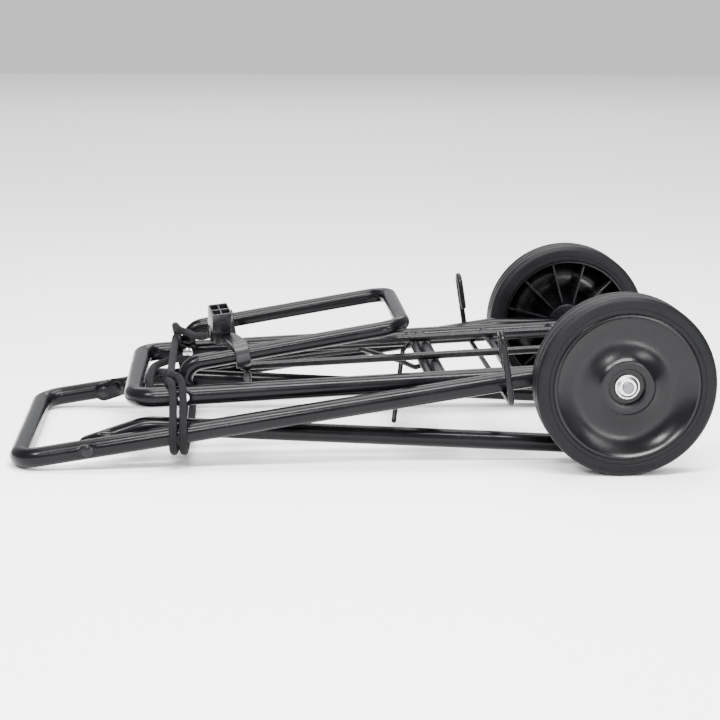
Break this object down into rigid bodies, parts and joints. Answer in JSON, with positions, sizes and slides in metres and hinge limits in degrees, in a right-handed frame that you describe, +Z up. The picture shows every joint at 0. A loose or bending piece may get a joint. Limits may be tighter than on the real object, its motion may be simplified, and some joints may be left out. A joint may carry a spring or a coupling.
{
  "type": "folding platform cart",
  "caption": "Folded two-wheel steel tube cart: back frame, folding handle, wire-grid platform with a swing-out leg, rubber tyres and an elastic cord with plastic hooks.",
  "frame": {"origin": "on the surface the folded cart lies on, under the middle of its bounding box", "axes": "+X from the end loop of the back frame to the wheels, +Y across the cart along the axle, +Z up"},
  "size_m": [0.702, 0.398, 0.18],
  "materials": {
    "black_tube": "gloss powder coat with fine orange peel",
    "black_wire": "gloss powder coat",
    "black_rivet": "painted rivet head",
    "zinc": "bright zinc plate",
    "zinc_rivet": "bright domed rivet",
    "hub_plastic": "semi-gloss moulded",
    "bush_plastic": "self-lubricating bush",
    "tyre_rubber": "dark grey solid rubber",
    "plug_plastic": "moulded tube plug",
    "hook_plastic": "moulded hook",
    "elastic": "braided elastic cord"
  },
  "bodies": {
    "back_frame": {"main_frame": "black_tube", "frame_end_plugs": "plug_plastic", "cord_hook_wire": "black_wire", "axle": "zinc", "axle_push_nuts": "zinc", "wheel_spacers": "zinc", "handle_rivets": "black_rivet", "handle_washers": "zinc", "platform_spacers": "zinc"},
    "left_wheel": {"left_wheel_hub": "hub_plastic", "left_tyre": "tyre_rubber", "left_hub_bush": "bush_plastic"},
    "right_wheel": {"right_wheel_hub": "hub_plastic", "right_tyre": "tyre_rubber", "right_hub_bush": "bush_plastic"},
    "handle": {"handle_frame": "black_tube"},
    "platform": {"platform_frame": "black_tube", "platform_end_plugs": "plug_plastic", "platform_cross_tube": "black_tube", "platform_cross_rods": "black_wire", "platform_long_rods": "black_wire", "leg_rivets": "zinc_rivet", "leg_washers": "zinc", "stay_wires": "black_wire", "bungee_wraps": "elastic"},
    "leg": {"leg_frame": "black_tube", "bungee_tail": "elastic", "bungee_hook_upper": "hook_plastic", "bungee_hook_lower": "hook_plastic"}
  },
  "joints": [
    {"name": "left_wheel_spin", "type": "hinge", "parent": "back_frame", "child": "left_wheel", "pos_m": [0.261, -0.1765, 0.09], "axis": [0, 1, 0], "continuous": true},
    {"name": "right_wheel_spin", "type": "hinge", "parent": "back_frame", "child": "right_wheel", "pos_m": [0.261, 0.1765, 0.09], "axis": [0, 1, 0], "continuous": true},
    {"name": "handle_fold", "type": "hinge", "parent": "back_frame", "child": "handle", "pos_m": [-0.271, 0, 0.02094], "axis": [0, 1, 0], "range_deg": [0, 168]},
    {"name": "platform_fold", "type": "hinge", "parent": "back_frame", "child": "platform", "pos_m": [0.261, 0, 0.09], "axis": [0, 1, 0], "range_deg": [0, 84], "deforming": ["bungee_wraps"]},
    {"name": "leg_fold", "type": "hinge", "parent": "platform", "child": "leg", "pos_m": [-0.17554, 0, 0.06981], "axis": [0, -1, 0], "range_deg": [0, 103], "deforming": ["bungee_tail"]}
  ]
}
